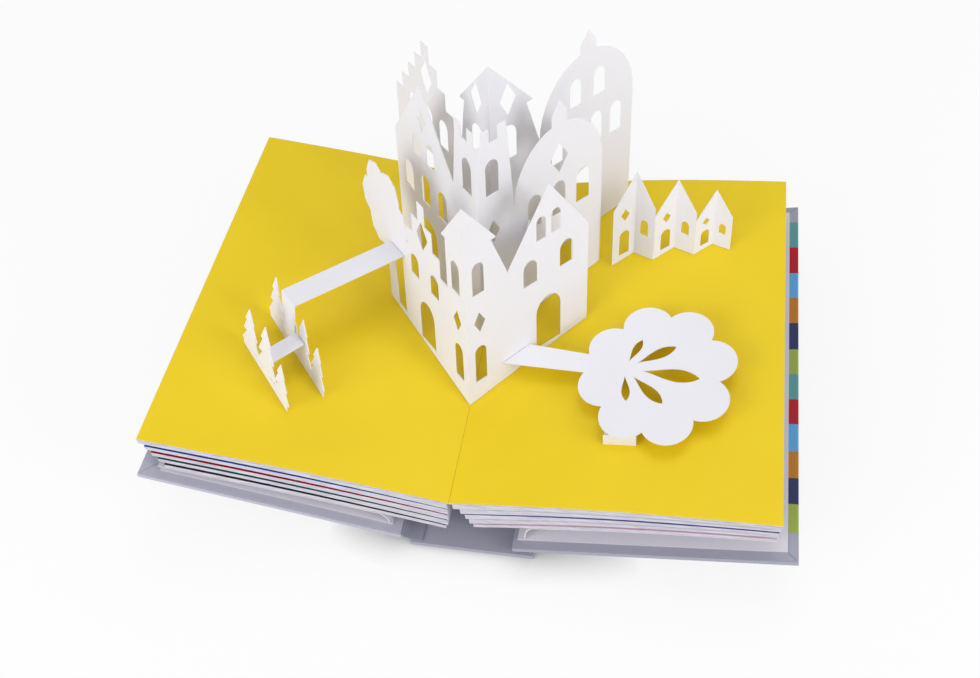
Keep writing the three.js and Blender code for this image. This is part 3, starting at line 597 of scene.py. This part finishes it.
def makeTurnIns():
    v = boardValues
    end, half = v["width"] - v["rounding"], v["length"] / 2 - v["rounding"]
    turn, gap = v["turnIn"], v["mitre"]
    # the front turn-ins take the case paper painted lighter, as painted light on the front cover
    for side, name, body, paper in ((-1, "front_turn_ins", "front_cover", "casePaperFrontPaintedLight"),
                                    (1, "back_turn_ins", "back_cover", "blockPrint")):
        bm = bmesh.new()
        flatPiece(bm, [(end, -half + gap), (end, half - gap), (end - turn, half - turn - gap),
                       (end - turn, -half + turn + gap)], side, v["clear"], v["paper"])
        for hand in (-1, 1):
            outer, inner = hand * half, hand * (half - turn)
            flatPiece(bm, [(v["inset"], outer), (end - gap, outer), (end - turn - gap, inner),
                           (v["inset"], inner)], side, v["clear"], v["paper"])
        finishPiece(name, bm, [paper], body)


endpaperValues = {
    # the back board's glued half, then the loose halves under the leaves
    "glued": (2.5, 126.5), "length": 205, "thickness": 0.5, "clear": 0.05,
    "foot": 33.5, "turnUp": 39, "outerEnd": 1, "steps": 40, "bendSteps": 24, "rows": 4,
    "footLift": 1.2,  # thicknesses by which the bend's end stays clear of the glued half
    "freeShare": 0.45,  # share of the bend's height that gives way when the cover swings
}


def makeBackEndpaper():
    v = endpaperValues
    bm = bmesh.new()
    low = boardValues["paper"] + v["clear"]
    inner, outer = v["glued"]
    half = v["length"] / 2
    flatPiece(bm, [(inner, -half), (outer, -half), (outer, half), (inner, half)], 1,
              low, low + v["thickness"])
    # white endpaper, painted darker as painted shade
    finishPiece("back_endpaper", bm, ["endpaperWhitePaintedShade"], "back_cover",
                ["back_pastedown"])


def makeFlyleaf(side, name, replaced):
    v = endpaperValues

    def underStack(distance):
        return stackLevel(side, distance, 1) - bookValues["seam"] - v["thickness"] / 2

    low = boardValues["paper"] + v["clear"]
    onGlued = onBoard(side, v["foot"] - boardValues["innerEnd"],
                      low + v["footLift"] * v["thickness"])[1]
    footLevel = onGlued + v["thickness"]
    last, turnUp, foot = pageReach(side) - v["outerEnd"], v["turnUp"], v["foot"]
    line = []
    for i in range(v["steps"] + 1):
        distance = last + (turnUp - last) * i / v["steps"]
        line.append((side * distance, underStack(distance)))
    rise = underStack(turnUp)
    for i in range(1, v["bendSteps"] + 1):
        # a soft bend from the stack's underside down to the glued half
        a = math.pi / 2 * i / v["bendSteps"]
        line.append((side * (turnUp - (turnUp - foot) * math.sin(a)),
                     footLevel + (rise - footLevel) * math.cos(a)))
    bm = bmesh.new()
    ribbon(bm, line, v["thickness"], v["length"], v["rows"])
    # white endpaper, painted darker as painted shade
    piece = finishPiece(name, bm, ["endpaperWhitePaintedShade"], None, [replaced], sharp=60)
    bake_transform(piece)


makeTurnIns()
makeBackEndpaper()
makeFlyleaf(-1, "front_flyleaf_sheet", "front_flyleaf")
makeFlyleaf(1, "back_flyleaf_sheet", "back_flyleaf")
print("turn-ins and endpapers made")


# Round tree that floats over the right page, cut with smooth curves

treeValues = {
    "lean": math.radians(22), "foldY": -48.5, "cardThickness": 0.5, "seam": 0.3,
    "raise": 10.5, "crown": (89, -33), "crownRadius": 25, "stretch": 1.12,
    "lobes": 8, "lobeRadius": 12, "overlap": 2, "foot": (20, 36), "neck": 5,
    "legAt": 75, "legWidth": 15, "legInset": 0.6, "tab": 7, "tabThickness": 0.3,
    # cut-out leaves that fan out from a fork: places and reach in shares of the crown's radius,
    # then start and half width in shares of the reach
    "leaves": 5, "fan": math.radians(150), "fork": 0.62, "leafReach": 1.42, "leafShorter": 0.34,
    "leafFrom": 0.24, "leafHalf": 0.105, "leafSwell": 1.5, "leafRound": 0.8,
    "samples": 1080, "leafSamples": 20, "parallel": 1e-9, "slack": 1e-6,
}


def treeFoot(s):
    # where the trunk meets the front fold's right wing, which stands at 45 degrees
    v = treeValues
    stand = v["cardThickness"] / 2 + v["seam"]
    half = math.sqrt(0.5)
    height = v["raise"] + s * half * math.tan(bookValues["tilt"][1])
    back = v["foldY"] + (s - stand) * half + height * math.tan(v["lean"])
    return Vector((s * half + stand * half, back))


def treeOutline():
    # all of it is seen from the crown's middle, so one reach per direction gives the outline
    v = treeValues
    crown = Vector(v["crown"])
    foot = [treeFoot(s) for s in v["foot"]]
    grow = (crown - (foot[0] + foot[1]) / 2).normalized()
    across = Vector((-grow.y, grow.x))
    discs = [(Vector((0, 0)), v["crownRadius"] + v["overlap"])]
    for i in range(v["lobes"]):
        a = (2 * i + 1) * math.pi / v["lobes"]
        away = grow * math.cos(a) + across * v["stretch"] * math.sin(a)
        discs.append((away * v["crownRadius"], v["lobeRadius"]))
    trunk = [foot[1] - crown, foot[0] - crown, -grow * v["crownRadius"] - across * v["neck"],
             -grow * v["crownRadius"] + across * v["neck"]]
    angles = [i * math.tau / v["samples"] for i in range(v["samples"])]
    angles += [math.atan2(corner.y, corner.x) % math.tau for corner in trunk[:2]]
    outline = []
    for a in sorted(angles):
        way = Vector((math.cos(a), math.sin(a)))
        reach = 0
        for middle, radius in discs:
            aside = middle.x * way.y - middle.y * way.x
            if abs(aside) < radius:
                reach = max(reach, middle.dot(way) + math.sqrt(radius ** 2 - aside ** 2))
        for one, other in zip(trunk, trunk[1:] + trunk[:1]):
            side = other - one
            spread = way.x * side.y - way.y * side.x
            if abs(spread) > v["parallel"]:
                along = (one.x * side.y - one.y * side.x) / spread
                share = (one.x * way.y - one.y * way.x) / spread
                if along > 0 and -v["slack"] <= share <= 1 + v["slack"]:
                    reach = max(reach, along)
        outline.append(crown + way * reach)
    fork = crown - grow * v["crownRadius"] * v["fork"]
    leaves = []
    for i in range(v["leaves"]):
        a = math.atan2(grow.y, grow.x) + v["fan"] * (i / (v["leaves"] - 1) - 0.5)
        fromMiddle = abs(i - (v["leaves"] - 1) / 2)
        reach = v["crownRadius"] * (v["leafReach"] - v["leafShorter"] * fromMiddle)
        turn = Matrix.Rotation(a, 2)
        upper = []
        for k in range(v["leafSamples"] + 1):
            share = k / v["leafSamples"]
            along = v["leafFrom"] + (1 - v["leafFrom"]) * share
            swell = math.sin(math.pi * share ** v["leafSwell"]) ** v["leafRound"]
            upper.append(Vector((along, v["leafHalf"] * swell)))
        lower = [Vector((u.x, -u.y)) for u in upper[-2:0:-1]]
        leaves.append([fork + turn @ (u * reach) for u in upper + lower])
    return outline, leaves


def treeLevel(x):
    return bookValues["gutterHeight"] + treeValues["raise"] + x * math.tan(bookValues["tilt"][1])


def makeRoundTree():
    v = treeValues
    thick = v["cardThickness"]
    bm = bmesh.new()
    outline, leaves = treeOutline()
    for loop in [outline] + leaves:
        ring = [bm.verts.new((p.x, p.y, treeLevel(p.x) + thick / 2)) for p in loop]
        for one, other in zip(ring, ring[1:] + ring[:1]):
            bm.edges.new((one, other))
    bmesh.ops.triangle_fill(bm, use_beauty=True, use_dissolve=False, edges=bm.edges[:])
    under = bmesh.ops.extrude_face_region(bm, geom=bm.faces[:], use_keep_orig=True)["geom"]
    lowered = [g for g in under if isinstance(g, bmesh.types.BMVert)]
    bmesh.ops.translate(bm, vec=(0, 0, -thick), verts=lowered)
    crown = Vector(v["crown"])
    legY = crown.y - v["crownRadius"] * v["stretch"] - v["lobeRadius"] * v["legInset"]
    ends = [v["legAt"] - v["legWidth"] / 2, v["legAt"] + v["legWidth"] / 2]
    # leg and its glued foot: a card folded once, from the page up to the crown's underside
    leg = (legY - thick / 2, legY + thick / 2, None)
    glued = (legY + thick / 2, legY + v["tab"], v["tabThickness"])
    for near, far, high in (leg, glued):
        made = bmesh.ops.create_cube(bm, size=1)["verts"]
        for vert in made:
            x = ends[0] if vert.co.x < 0 else ends[1]
            top = treeLevel(x) - thick / 2 if high is None else pageLevel(1, x) + high
            level = pageLevel(1, x) if vert.co.z < 0 else top
            vert.co = (x, near if vert.co.y < 0 else far, level)
    finishPiece("round_tree", bm, ["whiteCard"], "book", ["tree_layer"], sharp=30)


makeRoundTree()
print("round tree made")


# Cloth joints of the case

clothValues = {
    "thickness": 0.7, "length": 212, "rows": 12,
    # middle line in x and z, then the points between which it turns with the cover
    "front": {
        "line": [(-17.5, 3.65), (-20.2, 3.65), (-22.3, 3.7), (-24.6, 4.5), (-27.0, 5.9),
                 (-27.2, 7.1), (-26.8, 8.8)],
        "turn": ((-21.5, 0, 3.6), (-27.0, 0, 6.6)),
    },
    "back": {
        "line": [(31.5, 3.65), (34.6, 3.65), (36.0, 3.75), (36.55, 4.5), (36.0, 5.25), (34.4, 5.35),
                 (29.2, 5.35)],
        "turn": ((36.3, 0, 3.6), (36.3, 0, 5.4)),
    },
}


def makeJointCloths():
    for side, body in (("front", "front_cover"), ("back", "back_cover")):
        v = clothValues
        bm = bmesh.new()
        ribbon(bm, v[side]["line"], v["thickness"], v["length"], v["rows"])
        piece = finishPiece(f"{side}_joint_lining", bm, ["jointCloth"], None,
                            [f"{side}_joint_cloth"], sharp=60)
        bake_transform(piece)


makeJointCloths()
print("cloth joints made")


# Finishes of the solids that stay

nodePapers = {
    # the front cover takes the case paper painted lighter, as painted light
    "spine_board": "casePaper", "front_cover": "casePaperFrontPaintedLight", "back_cover": "blockPrint",
    # the endpapers: white painted darker as painted shade
    "front_pastedown": "endpaperWhitePaintedShade", "back_pastedown": "endpaperWhitePaintedShade",
    "front_flyleaf": "endpaperWhitePaintedShade", "back_flyleaf": "endpaperWhitePaintedShade",
}

for name, node in nodes.items():
    material = papers[nodePapers.get(name, "whiteCard")]
    for slot in node.material_slots:
        slot.material = material
print("solids finished")


scene.view_settings.view_transform = "Standard"
